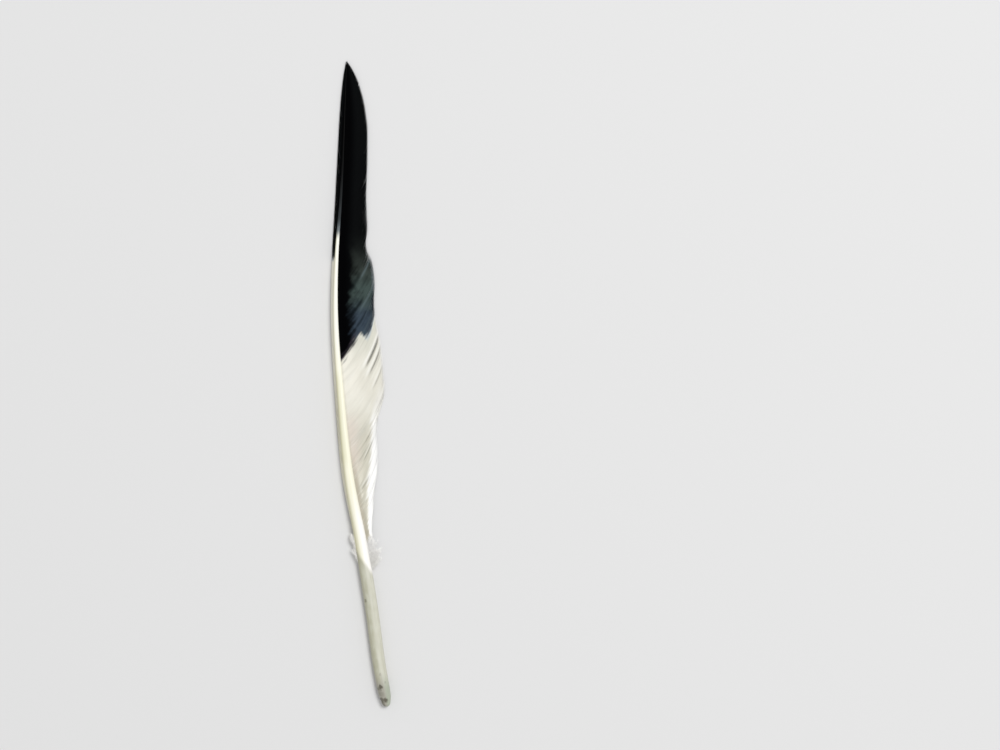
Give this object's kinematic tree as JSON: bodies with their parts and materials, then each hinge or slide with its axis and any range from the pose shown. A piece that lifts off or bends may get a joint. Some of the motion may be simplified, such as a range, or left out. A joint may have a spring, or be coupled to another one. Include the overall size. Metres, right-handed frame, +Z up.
{
  "type": "goose quill feather",
  "caption": "Goose wing quill feather lying upper side up: bare quill, tapering shaft, broad white vane with a black tip, narrow front vane and a tuft of down.",
  "frame": {"origin": "middle of the feather's box in X and Y, on the surface that it lies on", "axes": "+Y along the feather from the end of the quill to the tip, +X across it towards the broad trailing vane, +Z up through its upper side"},
  "size_m": [0.0288, 0.3028, 0.0063],
  "materials": {
    "white_vane": "warm white barbs with a silky, matt surface",
    "black_vane": "black barbs with a faint slate blue sheen towards the white",
    "shaft": "smooth horn: cream rachis, greyer and half clear at the bare quill"
  },
  "bodies": {
    "root": {"goose_feather": "white_vane"}
  },
  "joints": []
}
